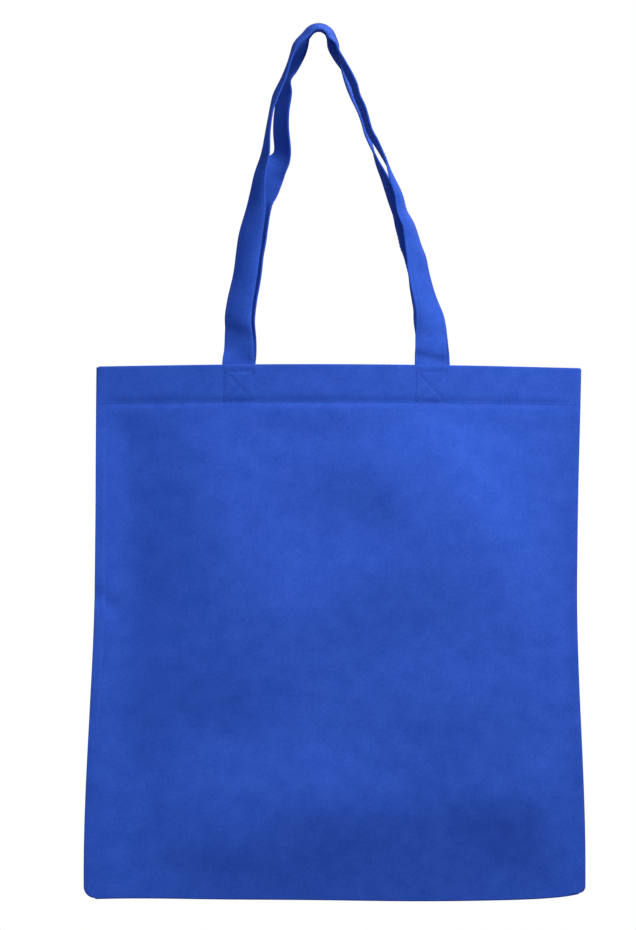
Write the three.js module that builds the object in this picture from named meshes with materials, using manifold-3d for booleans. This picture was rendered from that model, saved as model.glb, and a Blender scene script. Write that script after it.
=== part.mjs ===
// A flat shopping bag of blue non-woven fabric, hanging from a peg by its two handles.
// Millimetres, +Z up. The front panel faces -Y and +X is to the right seen from the front.
// The origin is the point that the bag hangs from: the underside of the handles at their top.
import * as THREE from "three";
import { mergeVertices } from "three/addons/utils/BufferGeometryUtils.js";
import Module from "manifold-3d";

const { clamp, degToRad, lerp, smoothstep } = THREE.MathUtils;

// Fabric
const fabricThickness = 0.5;
const layerGap = 0.3;

// Body: one sheet, folded at the bottom, sewn up at both sides and hemmed at the mouth
const mouthWidth = 380.5;
const waistDrawIn = 2;
const bottomSpread = 13.5;
const bodyHeight = 420;
const hemDepth = 30;
const seamAllowance = 8;
const seamGroove = 0.4;
const leftCornerRadius = 9;
const rightCornerRadius = 5;
const rightCornerLift = 4.5;

// How the hanging body opens, leans and droops
const mouthHalfGape = 20;
const bellySwell = 15;
const mouthOffset = 15.6;
const bodyLean = 3.4;
const mouthDroop = 2.7;
const mouthCrestOffset = -30;

// Handles: strips folded in four to a flat strap, both ends sewn inside the hem
const strapWidth = 25;
const strapThickness = 1.6;
const strapFoldDepth = 9;
const strapSpacing = 151;
const strapOffset = -2.5;
const strapEndMargin = 2;
const strapClearance = 0.45;
const handleDrop = 263.5;
const handleSpacingOnPeg = 2;

const fabricBlue = new THREE.Color(0x2c4eb4);

// Broad soft swells of the two panels. Across runs from -1 at the left seam to 1 at the right one,
// down from 0 at the mouth to 1 at the bottom, and rise is in millimetres, outwards.
const frontSwells = [
  { across: -0.86, down: 0.45, rise: -3.0, wide: 0.1, tall: 0.3 },
  { across: -0.55, down: 0.52, rise: 2.5, wide: 0.22, tall: 0.2 },
  { across: 0.1, down: 0.3, rise: -3.5, wide: 0.22, tall: 0.12 },
  { across: 0.55, down: 0.28, rise: 3.0, wide: 0.25, tall: 0.18 },
  { across: -0.35, down: 0.8, rise: 3.5, wide: 0.25, tall: 0.12 },
  { across: 0.3, down: 0.66, rise: 3.0, wide: 0.3, tall: 0.14 },
];
const backSwells = [
  { across: 0.5, down: 0.35, rise: 3.5, wide: 0.25, tall: 0.2 },
  { across: -0.4, down: 0.55, rise: -3.0, wide: 0.25, tall: 0.16 },
  { across: 0.15, down: 0.78, rise: 3.0, wide: 0.3, tall: 0.12 },
];

// Each handle: the inner radius of its crown over the peg, the strap's turn there, and its two legs.
// A leg's foot is sewn a little off its place by its shift, and the leg passes through points given as
// shares of the drop and of the way in to the peg, with the strap's turn there in degrees, from 0 facing
// the front to 90 facing out of the loop. Lean is its slope at the crown.
const frontHandle = {
  crownRadius: 9.5,
  crownTurn: 96,
  left: {
    footShift: -1,
    lean: 36,
    way: [
      [0.06, 0, 26], [0.14, 0, 34], [0.19, 0.03, 35], [0.25, 0.08, 39], [0.37, 0.14, 41],
      [0.46, 0.21, 53], [0.56, 0.27, 70], [0.62, 0.335, 75], [0.69, 0.37, 82], [0.76, 0.42, 82],
      [0.8, 0.475, 78], [0.85, 0.565, 80], [0.93, 0.68, 92],
    ],
  },
  right: {
    footShift: -1.5,
    lean: 20,
    way: [
      [0.1, 0, 5], [0.17, 0.03, 38], [0.21, 0.06, 46], [0.28, 0.105, 49], [0.35, 0.145, 61],
      [0.41, 0.19, 70], [0.45, 0.245, 74], [0.51, 0.285, 80], [0.56, 0.355, 85], [0.6, 0.4, 90],
      [0.66, 0.49, 96], [0.73, 0.58, 98], [0.8, 0.655, 99], [0.87, 0.74, 99], [0.93, 0.825, 98],
    ],
  },
};
const backHandle = {
  crownRadius: 6.5,
  crownTurn: 92,
  left: {
    footShift: 0,
    lean: 28,
    way: [
      [0.04, 0.015, 16], [0.14, 0.065, 50], [0.24, 0.165, 62], [0.33, 0.21, 63], [0.41, 0.26, 60],
      [0.49, 0.285, 46], [0.56, 0.37, 28], [0.59, 0.435, 36], [0.61, 0.5, 50], [0.64, 0.535, 60],
      [0.7, 0.535, 66], [0.76, 0.545, 68], [0.85, 0.605, 75], [0.93, 0.735, 68],
    ],
  },
  right: {
    footShift: 2.1,
    lean: 26,
    way: [
      [0.1, 0.025, 5], [0.17, 0.07, 36], [0.24, 0.14, 58], [0.31, 0.225, 83], [0.35, 0.265, 95],
      [0.42, 0.295, 106], [0.49, 0.35, 106], [0.56, 0.43, 101], [0.64, 0.53, 95], [0.69, 0.59, 94],
      [0.76, 0.65, 95], [0.83, 0.735, 96], [0.9, 0.815, 95], [0.95, 0.875, 94],
    ],
  },
};

// Mesh fineness
const panelColumns = 18;
const panelRows = 18;
const cornerRows = 4;
const hemRows = 3;
const foldRows = 4;
const tuckRows = 2;
const legRows = 36;
const crownRows = 8;
const sectionArcSteps = 2;

// Shares of the way down: where the waist starts and ends, where the flare under it ends, and
// how much above the bottom fold the panels are still drawn flat.
const waistTop = 0.3;
const waistBottom = 0.4;
const flareEnd = 0.95;
const flatBottom = 0.1;

const waistWidth = mouthWidth - waistDrawIn;
const bottomWidth = mouthWidth + bottomSpread;

// In a side seam the two allowances lie between the panels, so a panel's middle is one and a half
// layers out from the seam's plane. The allowances bite a part of a layer into the panels.
const seamHalfStack = 1.5 * fabricThickness;
const seamBite = 0.25 * fabricThickness;

// The hem's fold, and the way from the mouth and the bottom to where the folds begin.
const foldPitch = fabricThickness + layerGap;
const foldRadius = foldPitch / 2;
const mouthToFold = fabricThickness / 2 + foldRadius;
const bottomToFold = fabricThickness / 2 + seamHalfStack;
const panelLength = bodyHeight - mouthToFold - bottomToFold;
const hemToFlat = hemDepth;
const seamShare = seamAllowance / (mouthWidth / 2);

const front = -1;
const back = 1;

// Height of the mouth's edge, which droops away from its highest point towards the corners.
function mouthHeight(across) {
  const crest = mouthCrestOffset / (mouthWidth / 2);
  const away = (across - crest) / (1 - crest);
  return -handleDrop - mouthDroop * away ** 2;
}

function bottomHeight(across) {
  const lift = across > 0 ? rightCornerLift * across ** 8 : 0;
  return -handleDrop - bodyHeight + lift;
}

// How far a rounded bottom corner draws the side edge in at a height above the bottom.
function cornerCut(across, above) {
  const radius = across < 0 ? leftCornerRadius : rightCornerRadius;
  const reach = clamp(radius - above, 0, radius);
  return radius - Math.sqrt(radius ** 2 - reach ** 2);
}

// The body's X at a share across and down, on an outline set in from the body's own by an inset.
function acrossToX(across, down, inset = 0) {
  const mouthFlare = (mouthWidth - waistWidth) * (1 - smoothstep(down, 0, waistTop));
  const bottomFlare = (bottomWidth - waistWidth) * smoothstep(down, waistBottom, flareEnd);
  const halfWidth = (waistWidth + mouthFlare + bottomFlare) / 2;
  const middle = mouthOffset - bodyLean * (1 - (1 - down) ** 2);
  const cut = cornerCut(across, (1 - down) * bodyHeight - inset);
  return middle + across * (halfWidth - inset - cut);
}

// Height of a point of a panel at a distance below the hem's fold.
function panelHeight(across, below) {
  const top = mouthHeight(across) - mouthToFold;
  const bottom = bottomHeight(across) + bottomToFold;
  return top - (below * (top - bottom)) / panelLength;
}

// How far out from the seams' plane a panel's mid-surface lies.
function panelReach(side, across, below) {
  const down = clamp(below / panelLength, 0, 1);
  const belowHem = smoothstep(below, hemDepth, hemDepth + hemToFlat);
  const fromMiddle = Math.min(Math.abs(across) / (1 - seamShare), 1);
  const bow = 1 - fromMiddle ** 2;
  const gape = mouthHalfGape * (1 - down) + bellySwell * 4 * down * (1 - down);
  let swell = 0;
  for (const s of side === front ? frontSwells : backSwells) {
    const dx = (across - s.across) / s.wide;
    const dz = (down - s.down) / s.tall;
    swell += s.rise * Math.exp(-(dx ** 2) - dz ** 2);
  }
  const loose = belowHem * smoothstep(1 - down, 0, flatBottom) * (1 - fromMiddle ** 6);
  return seamHalfStack + foldPitch * (1 - belowHem) + gape * bow + swell * loose;
}

// The sheet's way from the hem's raw edge over the mouth and down to the middle of the bottom fold.
// Each stop says how far it lies below the hem's fold and inside the panel, and where the fabric faces.
function sheetStops() {
  const stops = [];
  for (let i = 0; i < hemRows; i++)
    stops.push({ below: hemDepth * (1 - i / hemRows), inside: foldPitch, faceIn: 1, faceUp: 0 });
  for (let i = 0; i <= foldRows; i++) {
    const angle = (Math.PI * i) / foldRows;
    stops.push({
      below: -foldRadius * Math.sin(angle),
      inside: foldRadius * (1 + Math.cos(angle)),
      faceIn: Math.cos(angle),
      faceUp: Math.sin(angle),
    });
  }
  const cornerTop = panelLength - leftCornerRadius;
  for (let i = 1; i <= panelRows; i++)
    stops.push({ below: (cornerTop * i) / panelRows, inside: 0, faceIn: -1, faceUp: 0 });
  for (let i = 1; i <= cornerRows; i++) {
    const turn = Math.sin((Math.PI * i) / (2 * cornerRows));
    stops.push({ below: cornerTop + leftCornerRadius * turn, inside: 0, faceIn: -1, faceUp: 0 });
  }
  for (let i = 1; i <= foldRows / 2; i++) {
    const angle = (Math.PI * i) / foldRows;
    stops.push({
      below: panelLength + seamHalfStack * Math.sin(angle),
      inside: seamHalfStack * (1 - Math.cos(angle)),
      faceIn: -Math.cos(angle),
      faceUp: -Math.sin(angle),
    });
  }
  return stops;
}

function isOnPanel(stop) {
  return stop.inside === 0 && stop.faceUp === 0;
}

// The share across at a column: one column for each seam, the rest even between them.
function columnAcross(column) {
  if (column === 0 || column === panelColumns) return column === 0 ? -1 : 1;
  const inner = (column - 1) / (panelColumns - 2);
  return lerp(-1 + seamShare, 1 - seamShare, inner);
}

function moveVertices(geometry, place) {
  const position = geometry.getAttribute("position");
  const vertex = new THREE.Vector3();
  for (let i = 0; i < position.count; i++) {
    vertex.fromBufferAttribute(position, i);
    const placed = place(vertex);
    position.setXYZ(i, placed.x, placed.y, placed.z);
  }
  geometry.deleteAttribute("normal");
  geometry.deleteAttribute("uv");
  return mergeVertices(geometry, 1e-4);
}

// The flat cut sheet, folded into the body.
function foldedSheet() {
  const half = sheetStops();
  const stops = [
    ...half.map((stop) => ({ ...stop, side: front })),
    ...half.slice(0, -1).reverse().map((stop) => ({ ...stop, side: back })),
  ];
  const rows = stops.length - 1;
  const flat = new THREE.BoxGeometry(panelColumns, rows, fabricThickness, panelColumns, rows, 1);
  return moveVertices(flat, ({ x, y, z }) => {
    const across = columnAcross(Math.round(x + panelColumns / 2));
    const stop = stops[Math.round(rows / 2 - y)];
    const down = clamp(stop.below / panelLength, 0, 1);
    const reach = panelReach(stop.side, across, stop.below) - stop.inside;
    const beyond = Math.max(stop.below - panelLength, 0) + Math.min(stop.below, 0);
    return new THREE.Vector3(
      acrossToX(across, down),
      stop.side * (reach - z * stop.faceIn),
      panelHeight(across, clamp(stop.below, 0, panelLength)) - beyond + z * stop.faceUp,
    );
  });
}

// The two allowances of a side seam, sewn together between the panels, down into the bottom fold.
function sideSeam(side) {
  const stack = 2 * (fabricThickness + seamBite);
  const inner = 1 - seamShare + seamGroove / (mouthWidth / 2);
  const belows = [0, ...sheetStops().filter(isOnPanel).map((stop) => stop.below)];
  const middles = belows.slice(1).map((below, i) => (below + belows[i]) / 2);
  const stops = [seamGroove, ...middles, panelLength];
  const rows = stops.length - 1;
  const strip = new THREE.BoxGeometry(1, rows, stack, 1, rows, 1);
  return moveVertices(strip, ({ x, y, z }) => {
    const across = side * lerp(inner, 1, x + 0.5);
    const row = Math.round(rows / 2 - y);
    const sunk = row === rows ? bottomToFold - fabricThickness + seamBite : 0;
    const height = panelHeight(across, stops[row]) - sunk;
    const inAcross = acrossToX(across, stops[row] / panelLength, seamGroove);
    return new THREE.Vector3(inAcross, -side * z, height);
  });
}

const wasm = await Module();
wasm.setup();

function toSolid(geometry) {
  return new wasm.Manifold(
    new wasm.Mesh({
      numProp: 3,
      vertProperties: new Float32Array(geometry.getAttribute("position").array),
      triVerts: new Uint32Array(geometry.index.array),
    }),
  );
}

function toGeometry(solid) {
  const mesh = solid.getMesh();
  return new THREE.BufferGeometry()
    .setAttribute("position", new THREE.BufferAttribute(mesh.vertProperties, 3))
    .setIndex(new THREE.BufferAttribute(mesh.triVerts, 1));
}

function bodyGeometry() {
  const sheet = toSolid(foldedSheet());
  return toGeometry(sheet.add(toSolid(sideSeam(-1))).add(toSolid(sideSeam(1))));
}

// The strap's section: a closed fold at one edge, two folds with a slit between them at the other.
function strapSection() {
  const halfWidth = strapWidth / 2;
  const halfThickness = strapThickness / 2;
  const slit = layerGap / 2;
  const smallFold = (halfThickness - slit) / 2;
  const section = new THREE.Shape();
  section.moveTo(-halfWidth + halfThickness, -halfThickness);
  section.lineTo(halfWidth - smallFold, -halfThickness);
  section.absarc(halfWidth - smallFold, -slit - smallFold, smallFold, -Math.PI / 2, Math.PI / 2);
  section.lineTo(halfWidth - strapFoldDepth, -slit);
  section.lineTo(halfWidth - strapFoldDepth, slit);
  section.lineTo(halfWidth - smallFold, slit);
  section.absarc(halfWidth - smallFold, slit + smallFold, smallFold, -Math.PI / 2, Math.PI / 2);
  section.lineTo(-halfWidth + halfThickness, halfThickness);
  section.absarc(-halfWidth + halfThickness, 0, halfThickness, Math.PI / 2, (3 * Math.PI) / 2);
  return section;
}

// Where a leg leaves the hem, at the mouth's edge, and where it meets the crown.
function legFoot(handle, sign) {
  const { footShift } = sign < 0 ? handle.left : handle.right;
  const x = mouthOffset + strapOffset + (sign * strapSpacing) / 2 + footShift;
  return new THREE.Vector2(x, mouthHeight((x - mouthOffset) / (mouthWidth / 2)));
}

function crownPoint(handle, angle) {
  const radius = handle.crownRadius + strapThickness / 2;
  return new THREE.Vector2(radius * Math.cos(angle), radius * Math.sin(angle) - handle.crownRadius);
}

// A smooth line through rows of numbers, read at a value of each row's first number.
function smoothThrough(rows, slopeAtEnd, at) {
  const last = rows.length - 1;
  const slope = (i, k) => {
    if (i === 0) return 0;
    if (i === last) return slopeAtEnd[k - 1];
    return (rows[i + 1][k] - rows[i - 1][k]) / (rows[i + 1][0] - rows[i - 1][0]);
  };
  let i = 0;
  while (i < last - 1 && rows[i + 1][0] < at) i++;
  const span = rows[i + 1][0] - rows[i][0];
  const t = (at - rows[i][0]) / span;
  return [1, 2].map(
    (k) =>
      rows[i][k] * (1 + 2 * t) * (1 - t) ** 2 +
      rows[i + 1][k] * t ** 2 * (3 - 2 * t) +
      slope(i, k) * span * t * (1 - t) ** 2 +
      slope(i + 1, k) * span * t ** 2 * (t - 1),
  );
}

// A leg from its end inside the hem up to the crown, as places seen from the front with turns.
function legPath(handle, sign) {
  const leg = sign < 0 ? handle.left : handle.right;
  const foot = legFoot(handle, sign);
  const lean = degToRad(leg.lean);
  const top = crownPoint(handle, sign < 0 ? Math.PI - lean : lean);
  const topRise = 1 - top.y / foot.y;
  const rows = [[0, 0, 0], ...leg.way, [topRise, 1 - top.x / foot.x, handle.crownTurn]];
  const slopeAtTop = [Math.tan(lean) * Math.abs(foot.y / foot.x), 0];
  const path = [];
  for (let i = 0; i < tuckRows; i++) {
    const below = (hemDepth - strapEndMargin) * (1 - i / tuckRows);
    path.push({ x: foot.x, z: foot.y - below, turn: 0, rise: 0, foot });
  }
  for (let i = 0; i <= legRows; i++) {
    const rise = (topRise * i) / legRows;
    const [inward, turn] = smoothThrough(rows, slopeAtTop, rise);
    path.push({
      x: foot.x * (1 - inward),
      z: foot.y * (1 - rise),
      turn: degToRad(turn),
      rise,
      foot,
    });
  }
  return path;
}

// A whole handle: up the left leg, over the peg and down the right leg.
function handlePath(handle) {
  const from = Math.PI - degToRad(handle.left.lean);
  const to = degToRad(handle.right.lean);
  const crown = [];
  for (let i = 1; i < crownRows; i++) {
    const place = crownPoint(handle, lerp(from, to, i / crownRows));
    const foot = legFoot(handle, Math.sign(place.x));
    crown.push({ x: place.x, z: place.y, turn: degToRad(handle.crownTurn), rise: 1, foot });
  }
  return [...legPath(handle, -1), ...crown, ...legPath(handle, 1).reverse()];
}

// Stations along a handle, each with its place and the way its width and its face point.
function handleFrames(side, handle) {
  const path = handlePath(handle);
  const foldToMiddle = foldPitch + fabricThickness / 2 + strapClearance + strapThickness / 2;
  const reachOnPeg = (strapWidth + handleSpacingOnPeg) / 2;
  const reachAt = (x, z) => {
    const across = (x - mouthOffset) / (mouthWidth / 2);
    const below = Math.max(mouthHeight(across) - mouthToFold - z, 0);
    return panelReach(side, across, below) - foldToMiddle;
  };
  const places = path.map(({ x, z, rise, foot }) => {
    const reach = lerp(reachAt(x, Math.min(z, foot.y)), reachOnPeg, smoothstep(rise, 0, 1));
    return new THREE.Vector3(x, side * reach, z);
  });
  return path.map(({ x, z, turn, foot }, i) => {
    const before = places[Math.max(i - 1, 0)];
    const after = places[Math.min(i + 1, places.length - 1)];
    const along = after.clone().sub(before).normalize();
    const height = Math.min(z, foot.y);
    const slope = (reachAt(x + strapWidth / 2, height) - reachAt(x - strapWidth / 2, height)) / strapWidth;
    const toFront = new THREE.Vector3(side * slope, -1, 0).normalize();
    const outOfLoop = new THREE.Vector3(-along.z, 0, along.x).normalize();
    const face = toFront.multiplyScalar(Math.cos(turn)).addScaledVector(outOfLoop, Math.sin(turn));
    face.addScaledVector(along, -face.dot(along)).normalize();
    return { place: places[i], face, wide: face.clone().cross(along) };
  });
}

function handleGeometry(side, handle) {
  const frames = handleFrames(side, handle);
  const rows = frames.length - 1;
  const straight = new THREE.ExtrudeGeometry(strapSection(), {
    depth: rows,
    steps: rows,
    curveSegments: sectionArcSteps,
    bevelEnabled: false,
  });
  return moveVertices(straight, ({ x, y, z }) => {
    const { place, face, wide } = frames[Math.round(z)];
    return place.clone().addScaledVector(wide, x).addScaledVector(face, y);
  });
}

function fabric(roughness) {
  return new THREE.MeshStandardMaterial({ color: fabricBlue, roughness, metalness: 0 });
}

function piece(name, geometry, material) {
  const mesh = new THREE.Mesh(geometry, material);
  mesh.name = name;
  return mesh;
}

const bag = new THREE.Group();
bag.add(piece("bag_body", bodyGeometry(), fabric(0.82)));
bag.add(piece("front_handle", handleGeometry(front, frontHandle), fabric(0.78)));
bag.add(piece("back_handle", handleGeometry(back, backHandle), fabric(0.78)));

export default bag;
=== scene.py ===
# A flat shopping bag of blue non-woven fabric, hanging by its two handles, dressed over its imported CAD
# model. Metres, +Z up, the front faces -Y, and the origin is the point that the bag hangs from.
import math

import bmesh
import bpy
from mathutils import Matrix, Vector, noise


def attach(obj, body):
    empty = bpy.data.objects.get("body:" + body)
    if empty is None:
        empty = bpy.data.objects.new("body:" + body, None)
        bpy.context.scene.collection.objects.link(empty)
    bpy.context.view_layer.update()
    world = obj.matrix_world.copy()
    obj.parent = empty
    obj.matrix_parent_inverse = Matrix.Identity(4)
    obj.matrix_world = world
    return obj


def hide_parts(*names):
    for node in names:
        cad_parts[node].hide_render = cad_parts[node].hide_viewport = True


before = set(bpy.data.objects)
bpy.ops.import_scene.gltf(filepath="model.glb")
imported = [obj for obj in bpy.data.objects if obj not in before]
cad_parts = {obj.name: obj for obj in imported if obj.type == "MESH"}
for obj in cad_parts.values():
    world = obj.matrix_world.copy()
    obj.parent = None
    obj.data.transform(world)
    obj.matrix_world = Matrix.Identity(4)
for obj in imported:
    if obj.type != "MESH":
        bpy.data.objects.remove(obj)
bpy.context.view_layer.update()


# Body sheet
# One long piece of spunbond polypropylene fabric, hemmed at both short ends, folded in half at the bottom
# and sewn up at both sides. The bag is then turned, so the seam allowances lie inside between the panels.
cloth = 0.0005
layer_gap = 0.0003
layer_play = 0.00002
mouth_width = 0.3805
half_mouth = mouth_width / 2
waist_width = mouth_width - 0.002
bottom_width = mouth_width + 0.0135
body_height = 0.42
hem_depth = 0.03
seam_allowance = 0.008
left_corner_radius = 0.009
right_corner_radius = 0.005

# The cut of a rounded corner fades inwards by a power of the share across. The bottom lifts at the right
# corner, sags right of the middle and rises beside the left corner. Each wave is a share across, a half
# width and a share of the sag.
corner_power = 12
right_corner_lift = 0.0045
right_lift_power = 8
bottom_sag = 0.0013
bottom_waves = [(0.35, 0.4, 1.0), (-0.78, 0.25, -0.7)]

# How the hanging body opens, leans and droops. The gape closes towards the seams by one power, and the
# swells by another. The last row gives shares of the way down: where the waist begins and ends, where the
# body is widest, and how much of the bottom lies flat.
mouth_half_gape = 0.02
belly_swell = 0.015
hem_flare = 0.0025
mouth_offset = 0.0156
body_lean = 0.0034
mouth_droop = 0.0027
mouth_crest = -0.03 / half_mouth
handle_drop = 0.2635
gape_power = 1.5
seam_hold_power = 6
waist_top, waist_bottom, flare_end, flat_bottom = 0.3, 0.4, 0.95, 0.1

# Half the stack of a side seam, and the pitch of two layers in the hem's fold
seam_half_stack = 1.5 * cloth + 4 * layer_play
allowance_level = 0.5 * cloth + layer_play
fold_pitch = cloth + layer_gap
fold_radius = fold_pitch / 2
mouth_to_fold = cloth / 2 + fold_radius
bottom_to_fold = cloth / 2 + seam_half_stack
panel_length = body_height - mouth_to_fold - bottom_to_fold
seam_share = seam_allowance / half_mouth

# The hem's stitch line, and the straps' feet behind the hem with their sewn boxes
hem_stitch_inset = 0.0015
hem_stitch = hem_depth - hem_stitch_inset
strap_width = 0.025
strap_spacing = 0.151
strap_offset = -0.0025
box_top, box_bottom = 0.0045, hem_stitch
box_half_width = 0.0118

# Relief of the sewing: dips along the stitches with their half widths, and how far a strap's foot presses
# through the hem, with the widths of its soft edges and how far around it that is worked out.
hem_dip, hem_dip_half_width = 0.0008, 0.0034
box_dip, box_dip_half_width = 0.0004, 0.0011
foot_rise, foot_edge_across, foot_edge_down = 0.0005, 0.0012, 0.003
foot_margin = 0.006

# Swells of the two panels: share across from the left seam at -1 to the right one at 1, share down from
# the mouth at 0 to the bottom at 1, rise outwards in metres, and half widths across and down. On the front
# a valley runs along the left seam with a ridge beside it, the cloth drops in under the hem and in the
# middle, bulges towards the right seam and rolls over above the bottom.
front_swells = [
    (-0.87, 0.40, -0.0052, 0.11, 0.46),
    (-0.54, 0.27, 0.0041, 0.16, 0.23),
    (-0.83, 0.76, -0.0039, 0.16, 0.12),
    (0.07, 0.06, -0.0029, 0.84, 0.08),
    (-0.07, 0.32, -0.0097, 0.23, 0.14),
    (0.15, 0.30, -0.0041, 0.13, 0.07),
    (0.33, 0.22, 0.0025, 0.19, 0.14),
    (0.17, 0.51, -0.0025, 0.25, 0.10),
    (-0.08, 0.60, -0.0098, 0.32, 0.16),
    (-0.45, 0.69, -0.0060, 0.26, 0.09),
    (0.56, 0.30, 0.0076, 0.20, 0.15),
    (0.70, 0.47, 0.0077, 0.28, 0.17),
    (0.85, 0.62, 0.0097, 0.14, 0.29),
    (0.60, 0.66, 0.0059, 0.31, 0.11),
    (0.74, 0.81, 0.0101, 0.32, 0.09),
    (0.05, 0.82, 0.0051, 0.28, 0.08),
    (-0.44, 0.90, 0.0032, 0.26, 0.09),
]
back_swells = [
    (0.50, 0.35, 0.0035, 0.25, 0.20),
    (-0.40, 0.55, -0.0030, 0.25, 0.16),
    (0.15, 0.78, 0.0030, 0.30, 0.12),
]
FRONT, BACK = -1, 1

# A fold in the front runs from the right strap's foot down to the right seam, and a short crease runs in
# from the left seam: the places of their ends in metres across and below the mouth, their height and their
# half width.
pull_fold = ((0.070, 0.029), (0.167, 0.213), 0.0028, 0.020)
seam_crease = ((-0.190, 0.181), (-0.176, 0.191), 0.0017, 0.0055)

# The hem bulges at its left end, at a share across with a half width and a rise. The left seam bends
# forward over a share of the half width, and the bend comes in and goes out over two spans of the way down.
hem_bulge = (-0.92, 0.16, 0.0022)
seam_curl, curl_width = 0.005, 0.15
curl_begins, curl_ends = (0.04, 0.2), (0.55, 0.9)

# Puckers along both seams: their rise, number in a metre, slant, and middle and half width in from the seam
pucker_rise, puckers_per_metre, pucker_slant = 0.0018, 55, 0.3
pucker_middle, pucker_half_width = 0.004, 0.011
pucker_seed_of_panel, pucker_seed_of_seam = 2.3, 4.1

# Small waves of the fabric: waves in a metre, rise and seed. The hem calms them to a share, and they fade
# out at the seams and over the last stretch above the bottom.
small_waves = [(14, 0.0009, 3.7), (42, 0.0003, 9.1), (75, 0.0002, 5.3)]
hem_calm = 0.35
bottom_calm = 0.03


def clamp(value, low=0.0, high=1.0):
    return min(max(value, low), high)


def ease(value, start, stop):
    share = clamp((value - start) / (stop - start))
    return share * share * (3 - 2 * share)


def hump(value, middle, half_width):
    return math.exp(-(((value - middle) / half_width) ** 2))


def mouth_height(across):
    return -handle_drop - mouth_droop * ((across - mouth_crest) / (1 - mouth_crest)) ** 2


def bottom_height(across):
    sag = bottom_sag * sum(share * hump(across, middle, wide) for middle, wide, share in bottom_waves)
    return -handle_drop - body_height - sag + right_corner_lift * max(across, 0) ** right_lift_power


def panel_height(across, below):
    top = mouth_height(across) - mouth_to_fold
    bottom = bottom_height(across) + bottom_to_fold
    return top - below * (top - bottom) / panel_length


def edge_x(across, down, inset=0.0):
    """X of a share across the body, whose edge is drawn in by an inset and by the rounded corners."""
    flare_up = (mouth_width - waist_width) * (1 - ease(down, 0, waist_top))
    flare_down = (bottom_width - waist_width) * ease(down, waist_bottom, flare_end)
    half = (waist_width + flare_up + flare_down) / 2 - inset
    middle = mouth_offset - body_lean * (1 - (1 - down) ** 2)
    radius = left_corner_radius if across < 0 else right_corner_radius
    reach = clamp(radius - (1 - down) * body_height, 0, radius)
    cut = radius - math.sqrt(radius * radius - reach * reach)
    return middle + across * half - math.copysign(cut * abs(across) ** corner_power, across)


def foot_across(sign):
    return (strap_offset + sign * strap_spacing / 2) / half_mouth


def to_line(x, z, start, end):
    """Distance of a point from a line between two points."""
    along = Vector(end) - Vector(start)
    share = clamp((Vector((x, z)) - Vector(start)).dot(along) / along.length_squared)
    return (Vector(start) + along * share - Vector((x, z))).length


def hang_reach(side, across, below):
    """How far a panel's middle lies out from the seams' plane, as the bag hangs."""
    down = clamp(below / panel_length)
    below_hem = ease(below, hem_depth, 2 * hem_depth)
    from_middle = min(abs(across) / (1 - seam_share), 1)
    from_hem = max(down, hem_depth / panel_length)
    gape = mouth_half_gape * (1 - from_hem) + belly_swell * 4 * from_hem * (1 - from_hem)
    gape += hem_flare * (1 - min(below / hem_depth, 1))
    swell = sum(
        rise * hump(across, at_across, wide) * hump(down, at_down, tall)
        for at_across, at_down, rise, wide, tall in (front_swells if side == FRONT else back_swells)
    )
    if side == FRONT:
        fold_start, fold_end, rise, wide = pull_fold
        swell += rise * hump(to_line(across * half_mouth, below, fold_start, fold_end), 0, wide)
    loose = below_hem * ease(1 - down, 0, flat_bottom) * (1 - from_middle ** seam_hold_power)
    bulge_at, bulge_wide, bulge_rise = hem_bulge
    return (
        seam_half_stack
        + fold_pitch * (1 - below_hem)
        + gape * (1 - from_middle ** 2) ** gape_power
        + swell * loose
        + bulge_rise * hump(across, bulge_at, bulge_wide) * (1 - clamp(below / hem_depth))
    )


def box_lines(sign):
    """The sewn box and cross at a strap's foot, as lines in metres across and below the mouth's fold."""
    middle = foot_across(sign) * half_mouth
    left, right = middle - box_half_width, middle + box_half_width
    corners = [(left, box_top), (right, box_top), (right, box_bottom), (left, box_bottom)]
    around = list(zip(corners, corners[1:] + corners[:1]))
    return around + [(corners[0], corners[2]), (corners[1], corners[3])]


def sewn_relief(across, below):
    """Dips along the stitch lines of the hem, and the straps' feet pressing through it."""
    x = across * half_mouth
    off_seam = ease(1 - abs(across), seam_share, 2 * seam_share)
    relief = -hem_dip * hump(below, hem_stitch, hem_dip_half_width) * off_seam
    if below < hem_depth + foot_margin:
        for sign in (-1, 1):
            from_strap = abs(x - foot_across(sign) * half_mouth) - strap_width / 2
            if from_strap < foot_margin:
                behind = ease(-from_strap, -foot_edge_across, foot_edge_across)
                behind *= ease(hem_depth - below, -foot_edge_down, foot_edge_down)
                nearest = min(to_line(x, below, *line) for line in box_lines(sign))
                relief += foot_rise * behind - box_dip * hump(nearest, 0, box_dip_half_width)
    return relief


def soft_relief(side, across, below):
    """Small uneven waves of the fabric, calm in the hem, at the seams and at the bottom."""
    x = across * half_mouth
    calm = hem_calm + (1 - hem_calm) * ease(below, hem_depth, 1.6 * hem_depth)
    calm *= ease(panel_length - below, 0, bottom_calm) * ease(1 - abs(across), seam_share, 4 * seam_share)
    return calm * sum(
        rise * noise.noise(Vector((x * per_metre, below * per_metre, seed * side)))
        for per_metre, rise, seed in small_waves
    )


def seam_puckers(side, across, below):
    """Short ridges that run in from the side seams, where the thread gathers the fabric."""
    from_seam = (1 - min(abs(across), 1)) * half_mouth
    along = (below - pucker_slant * from_seam) * puckers_per_metre
    seeds = pucker_seed_of_panel * side, math.copysign(pucker_seed_of_seam, across)
    gather = noise.noise(Vector((along, *seeds)))
    loose = ease(below, hem_depth, 1.5 * hem_depth) * ease(panel_length - below, 0, bottom_calm)
    return pucker_rise * max(gather, 0) * loose * hump(from_seam, pucker_middle, pucker_half_width)


def panel_reach(side, across, below):
    relief = sewn_relief(across, below) + soft_relief(side, across, below)
    relief += seam_puckers(side, across, below)
    return hang_reach(side, across, below) + relief


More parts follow.
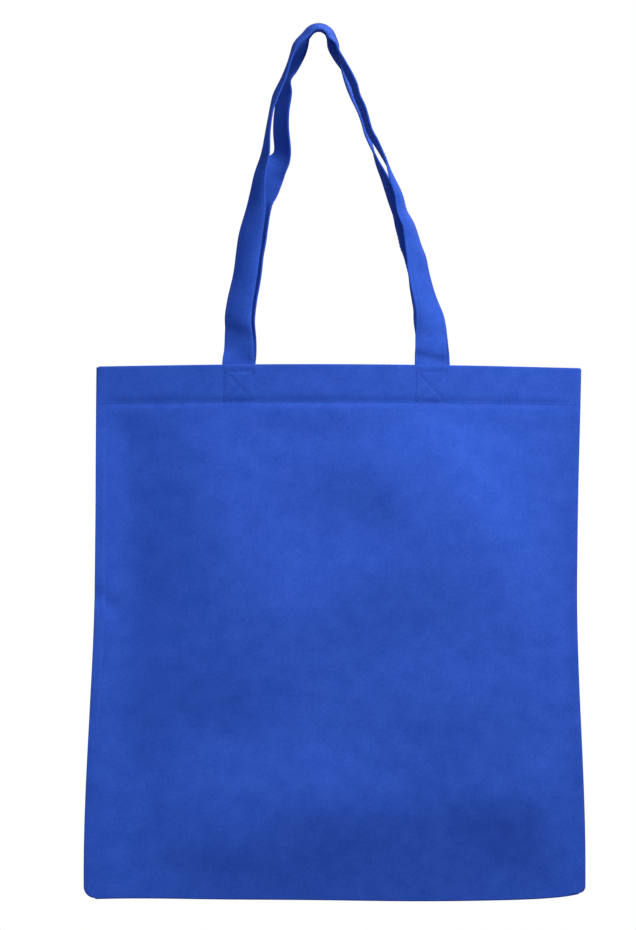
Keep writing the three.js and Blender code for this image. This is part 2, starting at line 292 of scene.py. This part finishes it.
def bend_forward(across, below):
    """How far the left seam bends towards the front, with all its layers, and the short crease in it."""
    down = clamp(below / panel_length)
    curl = seam_curl * (max(-across - (1 - curl_width), 0) / curl_width) ** 2
    crease_start, crease_end, depth, wide = seam_crease
    crease = depth * hump(to_line(across * half_mouth, below, crease_start, crease_end), 0, wide)
    return curl * ease(down, *curl_begins) * (1 - ease(down, *curl_ends)) - crease


def body_place(side, row, column):
    """Where a point of the flat sheet comes to lie in the sewn body."""
    below, inside, round_bottom = row
    across, turn, tuck = column
    down = clamp(below / panel_length)
    outer = panel_reach(side, across, below)
    bend = (panel_reach(side, math.copysign(1, across), below) - allowance_level) / 2
    level = outer - bend * (1 - math.cos(turn)) - inside
    x = edge_x(across, down, bend + cloth / 2)
    x += math.copysign(1, across) * (bend * math.sin(turn) - tuck)
    z = panel_height(across, clamp(below, 0, panel_length)) - min(below, 0)
    y = side * level * math.cos(round_bottom) - bend_forward(across, below)
    return Vector((x, y, z - level * math.sin(round_bottom)))


def steps(start, stop, size):
    """Even stops after a start, up to a stop."""
    count = max(1, round(abs(stop - start) / size))
    return [start + (stop - start) * i / count for i in range(1, count + 1)]


# Rows of the flat sheet from the hem's raw edge to the bottom fold: how far below the mouth's fold, how
# far inside the panel, and the angle round the bottom fold. They lie close as far as just below the hem.
hem_step, close_step, coarse_step = 0.003, 0.0012, 0.0039
close_end = hem_depth + 0.004
corner_top = panel_length - left_corner_radius
half_rows = [(below, fold_pitch, 0.0) for below in [hem_depth] + steps(hem_depth, 0, hem_step)]
for angle in steps(0, math.pi, math.pi / 6)[:-1]:
    half_rows.append((-fold_radius * math.sin(angle), fold_radius * (1 + math.cos(angle)), 0.0))
for below in [0.0] + steps(0, close_end, close_step) + steps(close_end, corner_top, coarse_step):
    half_rows.append((below, 0.0, 0.0))
for angle in steps(0, math.pi / 2, math.pi / 16):
    half_rows.append((corner_top + left_corner_radius * math.sin(angle), 0.0, 0.0))
for angle in steps(0, math.pi / 2, math.pi / 6):
    half_rows.append((panel_length, 0.0, angle))
sheet_rows = [(FRONT, row) for row in half_rows] + [(BACK, row) for row in half_rows[-2::-1]]

# Columns across: an allowance, the fold at the side seam, the panel with closer columns at the straps'
# feet, and the other seam. Each is a share across, an angle round the seam's fold and a tuck behind it.
near_foot = 0.017 / half_mouth
panel_stops = [-1.0]
for sign in (-1, 1):
    panel_stops += steps(panel_stops[-1], foot_across(sign) - near_foot, coarse_step / half_mouth)
    panel_stops += steps(panel_stops[-1], foot_across(sign) + near_foot, close_step / half_mouth)
panel_stops += steps(panel_stops[-1], 1.0, coarse_step / half_mouth)
seam_columns = [(math.pi, tuck) for tuck in (seam_allowance, seam_allowance / 2, 0.0)]
seam_columns += [(angle, 0.0) for angle in steps(math.pi, 0, math.pi / 4)[:-1]]
sheet_columns = (
    [(-1.0, *seam) for seam in seam_columns]
    + [(across, 0.0, 0.0) for across in panel_stops]
    + [(1.0, *seam) for seam in reversed(seam_columns)]
)


def flat_place(side, row, column):
    """Where a point lies on the flat cut, in metres from the middle of the bottom fold."""
    below, inside, round_bottom = row
    across, turn, tuck = column
    over = below if inside == 0 else -below
    along = panel_length - over + seam_half_stack * (math.pi / 2 - round_bottom)
    out = math.copysign(tuck + turn * allowance_level, across)
    return across * half_mouth + out, side * along


def new_piece(name, bm, material, smooth=True):
    mesh = bpy.data.meshes.new(name)
    for face in bm.faces:
        face.smooth = smooth
    bm.to_mesh(mesh)
    bm.free()
    mesh.materials.append(material)
    piece = bpy.data.objects.new(name, mesh)
    bpy.context.scene.collection.objects.link(piece)
    return piece


def shader_nodes(material):
    """A material's node tree with only its Principled shader and output, and a short way to add nodes."""
    material.use_nodes = True
    tree = material.node_tree
    shader = tree.nodes["Principled BSDF"]

    def add(kind, *inputs, **settings):
        node = tree.nodes.new(kind)
        for name, value in settings.items():
            setattr(node, name, value)
        for socket, value in zip(node.inputs, inputs):
            if value is None:
                continue
            if isinstance(value, bpy.types.NodeSocket):
                tree.links.new(value, socket)
            else:
                socket.default_value = value
        return node

    return tree, shader, add


def two_tones(add, share, *stops):
    """A colour that runs between two stops, each a position and a colour, with a node's value."""
    ramp = add("ShaderNodeValToRGB", share)
    for element, (position, colour) in zip(ramp.color_ramp.elements, stops):
        element.position = position
        element.color = (*colour, 1)
    return ramp.outputs[0]


def nonwoven(name, deep, pale):
    """Spunbond fabric on the sheet's own flat cut: fibre clouds, grain and a grid of embossed bonds."""
    bond_pitch = 0.0019
    bond_start, bond_full = 0.35, 0.8
    loose_roughness, bond_roughness = 0.9, 0.75
    cloud_tone, grain_tone, bond_tone = 0.5, 0.5, -0.06
    grain_height, fibre_height, bond_height = 0.9, 0.15, -0.7
    bump_strength, bump_depth = 0.35, 0.00014

    material = bpy.data.materials.new(name)
    tree, shader, add = shader_nodes(material)
    flat = add("ShaderNodeUVMap", uv_map="flat_cut").outputs[0]

    def fibre_noise(per_metre, detail, roughness):
        return add("ShaderNodeTexNoise", flat, None, per_metre, detail, roughness).outputs[0]

    def calculate(operation, *inputs):
        return add("ShaderNodeMath", *inputs, operation=operation).outputs[0]

    clouds = fibre_noise(per_metre=70.0, detail=3.0, roughness=0.55)
    grain = fibre_noise(per_metre=420.0, detail=2.0, roughness=0.6)
    fibres = fibre_noise(per_metre=2600.0, detail=2.0, roughness=0.7)

    apart = add("ShaderNodeSeparateXYZ", flat)
    waves = [
        calculate("SINE", calculate("MULTIPLY", way, 2 * math.pi / bond_pitch))
        for way in apart.outputs[:2]
    ]
    grid = calculate("MULTIPLY", *waves)
    bonds = add(
        "ShaderNodeMapRange", grid, bond_start, bond_full, 0.0, 1.0, interpolation_type="SMOOTHSTEP"
    ).outputs[0]

    mottle = calculate("MULTIPLY", grain, grain_tone)
    mottle = calculate("MULTIPLY_ADD", clouds, cloud_tone, mottle)
    mottle = calculate("MULTIPLY_ADD", bonds, bond_tone, mottle)
    colours = two_tones(add, mottle, (0.32, deep), (0.68, pale))
    tree.links.new(colours, shader.inputs["Base Color"])

    gloss = add("ShaderNodeMapRange", bonds, 0.0, 1.0, loose_roughness, bond_roughness).outputs[0]
    tree.links.new(gloss, shader.inputs["Roughness"])
    shader.inputs["Specular IOR Level"].default_value = 0.06

    height = calculate("MULTIPLY_ADD", bonds, bond_height, 0.0)
    height = calculate("MULTIPLY_ADD", grain, grain_height, height)
    height = calculate("MULTIPLY_ADD", fibres, fibre_height, height)
    bump = add("ShaderNodeBump", bump_strength, bump_depth)
    tree.links.new(height, bump.inputs["Height"])
    tree.links.new(bump.outputs[0], shader.inputs["Normal"])
    return material


def fold_sheet(rows, columns, place, flat, cut_off=lambda row, column: False):
    """A flat grid of fabric whose points go to their places in the sewn piece, with its cut kept as UV."""
    bm = bmesh.new()
    uv = bm.loops.layers.uv.new("flat_cut")
    bmesh.ops.create_grid(bm, x_segments=len(columns) - 1, y_segments=len(rows) - 1, size=0.5)
    flat_of = {}
    for vert in bm.verts:
        column = round((vert.co.x + 0.5) * (len(columns) - 1))
        row = round((vert.co.y + 0.5) * (len(rows) - 1))
        flat_of[vert] = flat(rows[row], columns[column])
        vert.co = place(rows[row], columns[column])
        vert.tag = cut_off(rows[row], columns[column])
    for face in bm.faces:
        for loop in face.loops:
            loop[uv].uv = flat_of[loop.vert]
    bmesh.ops.delete(bm, geom=[vert for vert in bm.verts if vert.tag], context="VERTS")
    return bm


def thicken(piece, thickness):
    layer = piece.modifiers.new("fabric_thickness", "SOLIDIFY")
    layer.thickness = thickness
    layer.offset = 0.0


body_mesh = fold_sheet(
    sheet_rows,
    sheet_columns,
    lambda row, column: body_place(row[0], row[1], column),
    lambda row, column: flat_place(row[0], row[1], column),
    lambda row, column: row[1][1] > 0 and column[1] > 0,
)
deep_blue, pale_blue = (0.0155, 0.0620, 0.405), (0.0275, 0.0860, 0.495)
body_fabric = nonwoven("body_fabric", deep_blue, pale_blue)
body = new_piece("body_sheet", body_mesh, body_fabric)
thicken(body, cloth)
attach(body, "root")
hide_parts("bag_body")


# Handles
# Each is a strip of the same fabric, folded in four to a flat strap and sewn along both edges. Its ends
# are sewn to the inside of the hem, and the two straps hang side by side over the peg.
strap_end_margin = 0.002
strap_clearance = 0.00045
strap_thickness = 0.0016
strap_layer = 0.00038
handle_spacing = 0.002
strip_pitch = 0.0004
strap_stitch_inset = 0.003

# A leg passes through points given as shares of the drop and of the way in to the peg, with the strap's
# turn there in degrees, from 0 facing the front to 90 facing out of the loop. Before them stand how far
# the leg's foot is sewn off its place, and the leg's lean at the crown in degrees. The crown has an inner
# radius and a turn. A strap arches across its width, and each of its creases has a share of the drop where
# it lies, a slant, a depth and a size.
front_handle = {
    "crown": (0.0095, 76),
    "arch": 0.0016,
    "creases": {
        -1: [(0.11, 0.3, 0.0014, 0.006)],
        1: [(0.03, -0.2, 0.0018, 0.003), (0.1, 0.3, 0.0014, 0.006)],
    },
    -1: (-0.001, 36, [
        (0.04, 0.01, 14), (0.1, 0.01, 25), (0.14, 0.012, 30), (0.19, 0.034, 34), (0.254, 0.079, 39),
        (0.373, 0.144, 41), (0.456, 0.214, 53), (0.508, 0.238, 64), (0.561, 0.27, 70),
        (0.62, 0.336, 75), (0.69, 0.369, 82), (0.76, 0.42, 83), (0.777, 0.443, 80),
        (0.803, 0.476, 78), (0.852, 0.57, 80), (0.9, 0.637, 84), (0.926, 0.675, 83), (0.954, 0.726, 80),
    ]),
    1: (-0.0015, 20, [
        (0.1, 0, 5), (0.135, 0.01, 20), (0.17, 0.031, 38), (0.206, 0.058, 46), (0.278, 0.104, 49),
        (0.313, 0.119, 53), (0.349, 0.146, 61), (0.411, 0.188, 70), (0.453, 0.25, 74),
        (0.506, 0.284, 80), (0.563, 0.356, 85), (0.603, 0.401, 90), (0.638, 0.452, 93),
        (0.664, 0.493, 96), (0.691, 0.54, 97), (0.726, 0.575, 98), (0.762, 0.611, 99),
        (0.795, 0.656, 99), (0.831, 0.685, 99), (0.866, 0.736, 99), (0.901, 0.789, 96),
        (0.926, 0.822, 91), (0.954, 0.842, 84),
    ]),
}
back_handle = {
    "crown": (0.0065, 92),
    "arch": -0.0010,
    "creases": {-1: [], 1: [(0.05, -0.2, 0.0012, 0.004)]},
    -1: (0.0, 28, [
        (0.04, 0.013, 16), (0.105, 0.036, 38), (0.14, 0.063, 50), (0.194, 0.118, 59),
        (0.242, 0.166, 62), (0.283, 0.192, 63), (0.328, 0.21, 63), (0.373, 0.242, 62),
        (0.414, 0.26, 60), (0.462, 0.275, 55), (0.492, 0.284, 46), (0.521, 0.322, 36),
        (0.561, 0.37, 28), (0.589, 0.431, 36), (0.612, 0.503, 50), (0.638, 0.538, 60),
        (0.7, 0.522, 62), (0.76, 0.534, 63), (0.815, 0.574, 65), (0.852, 0.6, 76),
        (0.884, 0.66, 69), (0.926, 0.738, 66), (0.954, 0.8, 72),
    ]),
    1: (0.0021, 26, [
        (0.1, 0.026, 5), (0.135, 0.046, 18), (0.17, 0.07, 36), (0.206, 0.11, 50),
        (0.242, 0.143, 58), (0.278, 0.182, 71), (0.313, 0.229, 83), (0.349, 0.264, 95),
        (0.385, 0.276, 102), (0.42, 0.293, 106), (0.456, 0.312, 107), (0.492, 0.351, 106),
        (0.527, 0.391, 103), (0.563, 0.434, 99), (0.603, 0.487, 93), (0.638, 0.524, 87),
        (0.664, 0.552, 83), (0.691, 0.58, 80), (0.726, 0.605, 78), (0.762, 0.64, 77),
        (0.795, 0.685, 77), (0.831, 0.729, 77), (0.866, 0.773, 82), (0.901, 0.824, 94),
        (0.926, 0.856, 100), (0.954, 0.892, 101),
    ]),
}

# How close the stations stand along a strap: in the hem, on each leg and round the crown in degrees
foot_step = 0.0025
leg_stations = 108
crown_step = 6


def leg_foot(handle, sign):
    x = mouth_offset + strap_offset + sign * strap_spacing / 2 + handle[sign][0]
    return x, mouth_height((x - mouth_offset) / half_mouth)


def crown_place(handle, angle):
    inner_radius = handle["crown"][0]
    radius = inner_radius + strap_thickness / 2
    return radius * math.cos(angle), radius * math.sin(angle) - inner_radius


def smooth_through(stops, end_slopes, at):
    """A smooth line through rows of numbers, read at a value of each row's first number."""
    last = len(stops) - 1

    def slope(i, k):
        if i == 0:
            return 0.0
        if i == last:
            return end_slopes[k - 1]
        return (stops[i + 1][k] - stops[i - 1][k]) / (stops[i + 1][0] - stops[i - 1][0])

    i = 0
    while i < last - 1 and stops[i + 1][0] < at:
        i += 1
    span = stops[i + 1][0] - stops[i][0]
    t = (at - stops[i][0]) / span
    return [
        stops[i][k] * (1 + 2 * t) * (1 - t) ** 2
        + stops[i + 1][k] * t ** 2 * (3 - 2 * t)
        + slope(i, k) * span * t * (1 - t) ** 2
        + slope(i + 1, k) * span * t ** 2 * (t - 1)
        for k in (1, 2)
    ]


def leg_path(handle, sign):
    """A leg from its end in the hem up to the crown: x, z, turn, rise and its foot's height."""
    lean, way = math.radians(handle[sign][1]), handle[sign][2]
    foot_x, foot_z = leg_foot(handle, sign)
    top_x, top_z = crown_place(handle, math.pi - lean if sign < 0 else lean)
    top_rise = 1 - top_z / foot_z
    stops = [(0, 0, 0)] + way + [(top_rise, 1 - top_x / foot_x, handle["crown"][1])]
    end_slopes = (math.tan(lean) * abs(foot_z / foot_x), 0)
    tucked = hem_depth - strap_end_margin
    path = []
    for below in [tucked] + steps(tucked, 0, foot_step)[:-1]:
        path.append((foot_x, foot_z - below, 0.0, 0.0, foot_z))
    for rise in [0.0] + steps(0, top_rise, top_rise / leg_stations):
        inward, turn = smooth_through(stops, end_slopes, rise)
        path.append((foot_x * (1 - inward), foot_z * (1 - rise), math.radians(turn), rise, foot_z))
    return path


def handle_path(handle):
    start = math.pi - math.radians(handle[-1][1])
    stop = math.radians(handle[1][1])
    turn = math.radians(handle["crown"][1])
    crown = []
    for angle in steps(start, stop, math.radians(crown_step))[:-1]:
        x, z = crown_place(handle, angle)
        crown.append((x, z, turn, 1.0, leg_foot(handle, 1 if x > 0 else -1)[1]))
    return leg_path(handle, -1) + crown + leg_path(handle, 1)[::-1]


def handle_stations(side, handle):
    """Places along a strap, with the ways that its face and its width point and the length up to there."""
    path = handle_path(handle)
    fold_to_middle = fold_pitch + cloth / 2 + strap_clearance + strap_thickness / 2
    reach_on_peg = (strap_width + handle_spacing) / 2

    def reach_at(x, z):
        across = (x - mouth_offset) / half_mouth
        below = max(mouth_height(across) - mouth_to_fold - z, 0)
        return hang_reach(side, across, below) - fold_to_middle

    places = []
    for x, z, turn, rise, foot_z in path:
        reach = reach_at(x, min(z, foot_z))
        places.append(Vector((x, side * (reach + (reach_on_peg - reach) * ease(rise, 0, 1)), z)))
    stations = []
    length = 0.0
    for i, (x, z, turn, rise, foot_z) in enumerate(path):
        along = (places[min(i + 1, len(places) - 1)] - places[max(i - 1, 0)]).normalized()
        height = min(z, foot_z)
        left, right = x - strap_width / 2, x + strap_width / 2
        slope = (reach_at(right, height) - reach_at(left, height)) / strap_width
        to_front = Vector((side * slope, -1, 0)).normalized()
        out_of_loop = Vector((-along.z, 0, along.x)).normalized()
        face = to_front * math.cos(turn) + out_of_loop * math.sin(turn)
        face = (face - along * face.dot(along)).normalized()
        if i:
            length += (places[i] - places[i - 1]).length
        stations.append((places[i], face, face.cross(along), length))
    return stations


# The folded strip's section, from one raw edge inside to the other: out to an edge, round a small fold,
# back over the whole width, round the closed fold and the same way in again.
half_width = strap_width / 2 - strap_layer / 2
inner_level, outer_level = strip_pitch / 2, 1.5 * strip_pitch
stops_inside = (-0.010, -0.004, 0.002, 0.0075)
step_outside = 0.0017
strip_section = []
for side_of_strip in (-1, 1):
    ordered = [(wide, side_of_strip * inner_level) for wide in stops_inside]
    ordered += [
        (
            half_width - inner_level + inner_level * math.cos(angle),
            side_of_strip * (strip_pitch + inner_level * math.sin(angle)),
        )
        for angle in [-math.pi / 2] + steps(-math.pi / 2, math.pi / 2, math.pi / 4)
    ]
    flat_end = -half_width + outer_level
    stops_outside = steps(half_width - inner_level, flat_end, step_outside)
    ordered += [(wide, side_of_strip * outer_level) for wide in stops_outside]
    if side_of_strip < 0:
        strip_section += ordered
        strip_section += [
            (flat_end - outer_level * math.sin(angle), -outer_level * math.cos(angle))
            for angle in steps(0, math.pi, math.pi / 6)[:-1]
        ]
    else:
        strip_section += ordered[::-1]
section_lengths = [0.0]
for (wide_a, thick_a), (wide_b, thick_b) in zip(strip_section, strip_section[1:]):
    section_lengths.append(section_lengths[-1] + math.hypot(wide_b - wide_a, thick_b - thick_a))

# The stitch lines press the strap's layers together and the middle puffs out, as shares of their height.
# The strap waves along, across and off the seams' plane. Its arch comes in above the hem, goes out between
# two heights and bends more towards one edge, and a crease runs out over some times its size.
strap_stitch = strap_width / 2 - strap_stitch_inset
press, press_half_width, puff = 0.12, 0.0012, 0.1
strap_wave, waves_along, waves_across, waves_off = 0.0005, 38, 30, 9
arch_comes, arch_goes = (-handle_drop, -handle_drop + 0.05), (-0.135, -0.095)
arch_bend, arch_bend_from = 3, 0.5
crease_tail = 7


def strap_pinch(wide):
    """The layers are pressed together along the two stitch lines and puff out a little between them."""
    pressed = hump(wide, strap_stitch, press_half_width) + hump(wide, -strap_stitch, press_half_width)
    return 1.0 - press * pressed + puff * (1 - (wide / half_width) ** 2)


def strap_place(handle, station, wide, thick):
    """A place on a strap, which waves a little, arches across its width and has a few creases."""
    place, face, across, length = station
    sign = -1 if place.x < 0 else 1
    share = wide / half_width
    free = ease(place.z, *arch_comes) * (1 - ease(place.z, *arch_goes))
    wave = Vector((length * waves_along, wide * waves_across, place.y * waves_off))
    offset = strap_wave * noise.noise(wave)
    bend = arch_bend * max(0, -share - arch_bend_from) ** 2
    offset += free * handle["arch"] * (1 - share ** 2 - bend)
    for rise, slant, depth, size in handle["creases"][sign]:
        above = place.z - leg_foot(handle, sign)[1] * (1 - rise) - slant * wide
        offset += depth * ease(above, -size, size) * (1 - ease(above, size, crease_tail * size))
    return place + across * wide + face * (thick * strap_pinch(wide) + offset)


handle_fabric = nonwoven("handle_fabric", deep_blue, pale_blue)
stations_of = {}
for side, handle, node in ((FRONT, front_handle, "front_handle"), (BACK, back_handle, "back_handle")):
    stations = handle_stations(side, handle)
    strap_mesh = fold_sheet(
        stations,
        list(range(len(strip_section))),
        lambda station, i: strap_place(handle, station, *strip_section[i]),
        lambda station, i: (section_lengths[i], station[3]),
    )
    strap = new_piece(node + "_strap", strap_mesh, handle_fabric)
    thicken(strap, strap_layer)
    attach(strap, "root")
    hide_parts(node)
    stations_of[side] = stations


# Sewing threads
# Blue polyester lockstitches: one line along each hem, a box with a cross at each strap's foot and a line
# along both edges of the straps. Each stitch is a short rounded thread that lies in the fabric's dip.
stitch_pitch = 0.0031
stitch_length = 0.0026
thread_width = 0.00055
thread_lift = 0.00004
hem_line_margin = 0.002
deep_thread, pale_thread = (0.015, 0.054, 0.36), (0.026, 0.08, 0.46)


def thread_finish():
    """Thread of a slightly darker blue than the fabric, with uneven plies and a little more gloss."""
    material = bpy.data.materials.new("sewing_thread")
    tree, shader, add = shader_nodes(material)
    where = add("ShaderNodeTexCoord").outputs["Object"]
    ply = add("ShaderNodeTexNoise", where, None, 2400.0, 2.0, 0.6).outputs[0]
    colours = two_tones(add, ply, (0.3, deep_thread), (0.7, pale_thread))
    tree.links.new(colours, shader.inputs["Base Color"])
    shader.inputs["Roughness"].default_value = 0.55
    shader.inputs["Specular IOR Level"].default_value = 0.1
    return material


# One stitch, a sphere of few faces. Blender's sphere comes in another order on each run, so its corners and
# faces are put in a fixed order.
sphere = bmesh.new()
bmesh.ops.create_uvsphere(sphere, u_segments=6, v_segments=5, radius=0.5)
corners = sorted(sphere.verts, key=lambda vert: [round(value, 6) for value in vert.co])
place_of = {vert: i for i, vert in enumerate(corners)}
stitch_faces = []
for face in sphere.faces:
    around = [place_of[vert] for vert in face.verts]
    first = around.index(min(around))
    stitch_faces.append(around[first:] + around[:first])
stitch_shape = bpy.data.meshes.new("stitch_shape")
stitch_shape.from_pydata([vert.co for vert in corners], [], sorted(stitch_faces))
sphere.free()


def sew(bm, line):
    """Lays stitches along a line of places with the ways that the fabric faces there."""
    walked = 0.0
    due = stitch_pitch / 2
    for (place_a, face_a), (place_b, face_b) in zip(line, line[1:]):
        span = (place_b - place_a).length
        while due <= walked + span and span > 0:
            share = (due - walked) / span
            along = (place_b - place_a).normalized()
            face = face_a.lerp(face_b, share)
            face = (face - along * face.dot(along)).normalized()
            lie = Matrix((
                face.cross(along) * thread_width,
                face * thread_width,
                along * stitch_length,
            )).transposed().to_4x4()
            lie.translation = place_a.lerp(place_b, share)
            stitch = stitch_shape.copy()
            stitch.transform(lie)
            bm.from_mesh(stitch)
            bpy.data.meshes.remove(stitch)
            due += stitch_pitch
        walked += span


def on_panel(side, x, below, lift):
    """A place lifted off a panel, at metres across and below the mouth's fold, and the way it faces."""
    beside = 0.0005

    def place(x, below):
        return body_place(side, (below, 0.0, 0.0), (x / half_mouth, 0.0, 0.0))

    over = place(x + beside, below) - place(x - beside, below)
    down = place(x, below + beside) - place(x, below - beside)
    face = over.cross(down)
    face = (face if face.y * side > 0 else -face).normalized()
    return place(x, below) + face * lift, face


def panel_line(side, start, end, lift):
    """A straight line on a panel, which faces out, or in where it lies on the hem's inner layer."""
    point_spacing = 0.003
    count = max(2, round((Vector(end) - Vector(start)).length / point_spacing))
    points = [Vector(start).lerp(Vector(end), i / count) for i in range(count + 1)]
    line = [on_panel(side, point.x, point.y, lift) for point in points]
    return line if lift > 0 else [(place, -face) for place, face in line]


thread = thread_finish()
thread_pieces = {}
outside = cloth / 2 + thread_lift
inside_hem = -(fold_pitch + cloth / 2 + thread_lift)
for side, handle, name in ((FRONT, front_handle, "front"), (BACK, back_handle, "back")):
    bm = bmesh.new()
    edge = half_mouth - hem_line_margin
    for lift in (outside, inside_hem):
        sew(bm, panel_line(side, (-edge, hem_stitch), (edge, hem_stitch), lift))
    for sign in (-1, 1):
        # The box's lower side lies on the hem's own line.
        top, right, _, left, *cross = box_lines(sign)
        for start, end in [top, right, left] + cross:
            sew(bm, panel_line(side, start, end, outside))
    thread_pieces[name + "_hem_threads"] = bm

    bm = bmesh.new()
    lift = outer_level + strap_layer / 2 + thread_lift
    for wide in (-strap_stitch, strap_stitch):
        for way in (-1, 1):
            sew(bm, [
                (strap_place(handle, station, wide, way * lift), station[1] * way)
                for station in stations_of[side]
            ])
    thread_pieces[name + "_handle_threads"] = bm

sewn = {}
for name, bm in thread_pieces.items():
    sewn[name] = new_piece(name, bm, thread)
    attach(sewn[name], "root")
bpy.data.meshes.remove(stitch_shape)


# Floor, light and camera
# A pale floor well below the hanging bag, a warm soft key light from the upper right in front, a weak cool
# fill from the left, a light behind for the back of the bag, and a surround that looks white and lights
# the bag a little cool.
floor_radius, floor_height = 1.6, -1.9
floor_deep, floor_pale = (0.78, 0.78, 0.78), (0.84, 0.84, 0.84)
floor_glow = 0.5


def looked_at(tree):
    """One for the rays that show a surface, straight, by gloss or through glass, and zero for its light."""
    path = tree.nodes.new("ShaderNodeLightPath")
    seen = path.outputs["Is Camera Ray"]
    for ray in ("Is Glossy Ray", "Is Transmission Ray"):
        either = tree.nodes.new("ShaderNodeMath")
        either.operation = "MAXIMUM"
        tree.links.new(seen, either.inputs[0])
        tree.links.new(path.outputs[ray], either.inputs[1])
        seen = either.outputs[0]
    return seen


floor_mesh = bmesh.new()
bmesh.ops.create_circle(
    floor_mesh,
    cap_ends=True,
    segments=96,
    radius=floor_radius,
    matrix=Matrix.Translation((0, 0, floor_height)),
)
floor_paint = bpy.data.materials.new("floor_paint")
tree, shader, add = shader_nodes(floor_paint)
where = add("ShaderNodeTexCoord").outputs["Object"]
speckle = add("ShaderNodeTexNoise", where, None, 12.0, 3.0, 0.5).outputs[0]
colours = two_tones(add, speckle, (0.0, floor_deep), (1.0, floor_pale))
tree.links.new(colours, shader.inputs["Base Color"])
shader.inputs["Roughness"].default_value = 0.9
glow = add("ShaderNodeMath", looked_at(tree), floor_glow, operation="MULTIPLY").outputs[0]
tree.links.new(glow, shader.inputs["Emission Strength"])
new_piece("floor", floor_mesh, floor_paint, smooth=False)

aim = Vector((0.012, 0.0, -0.42))


def soft_light(name, azimuth, elevation, distance, size, spread, power, colour):
    """A square soft light that looks at the bag's body, from degrees right of the front and above."""
    turn, rise = math.radians(azimuth), math.radians(elevation)
    away = Vector((math.sin(turn) * math.cos(rise), -math.cos(turn) * math.cos(rise), math.sin(rise)))
    lamp = bpy.data.lights.new(name, "AREA")
    lamp.size = size
    lamp.spread = math.radians(spread)
    lamp.energy = power
    lamp.color = colour
    light = bpy.data.objects.new(name, lamp)
    light.location = aim + away * distance
    light.rotation_euler = (-away).to_track_quat("-Z", "Y").to_euler()
    bpy.context.scene.collection.objects.link(light)


soft_light(
    "key_light", azimuth=30, elevation=46, distance=1.8, size=0.6, spread=46, power=4.75,
    colour=(1, 0.89, 0.765),
)
soft_light(
    "fill_light", azimuth=-78, elevation=8, distance=2.4, size=1.4, spread=180, power=7,
    colour=(0.7, 0.85, 1),
)
soft_light(
    "back_light", azimuth=150, elevation=42, distance=2.4, size=0.9, spread=180, power=40,
    colour=(1, 1, 1),
)

surround_light, surround_seen = (0.148, 0.188, 0.248), (1, 1, 1)
world = bpy.data.worlds.new("white_surround")
bpy.context.scene.world = world
world.use_nodes = True
nodes, links = world.node_tree.nodes, world.node_tree.links
surround = nodes["Background"]
colours = nodes.new("ShaderNodeValToRGB")
colours.color_ramp.elements[0].color = (*surround_light, 1)
colours.color_ramp.elements[1].color = (*surround_seen, 1)
links.new(looked_at(world.node_tree), colours.inputs["Fac"])
links.new(colours.outputs["Color"], surround.inputs["Color"])

camera_distance = 4.0
camera_x, camera_height = -0.000785, -0.34226
frame_height = 0.73005
lens = bpy.data.cameras.new("camera")
lens.sensor_width = 36
lens.lens = lens.sensor_width * camera_distance / frame_height
camera = bpy.data.objects.new("camera", lens)
camera.location = (camera_x, -camera_distance, camera_height)
camera.rotation_euler = (math.radians(90), 0, 0)
bpy.context.scene.collection.objects.link(camera)
bpy.context.scene.camera = camera
bpy.context.scene.view_settings.view_transform = "Standard"
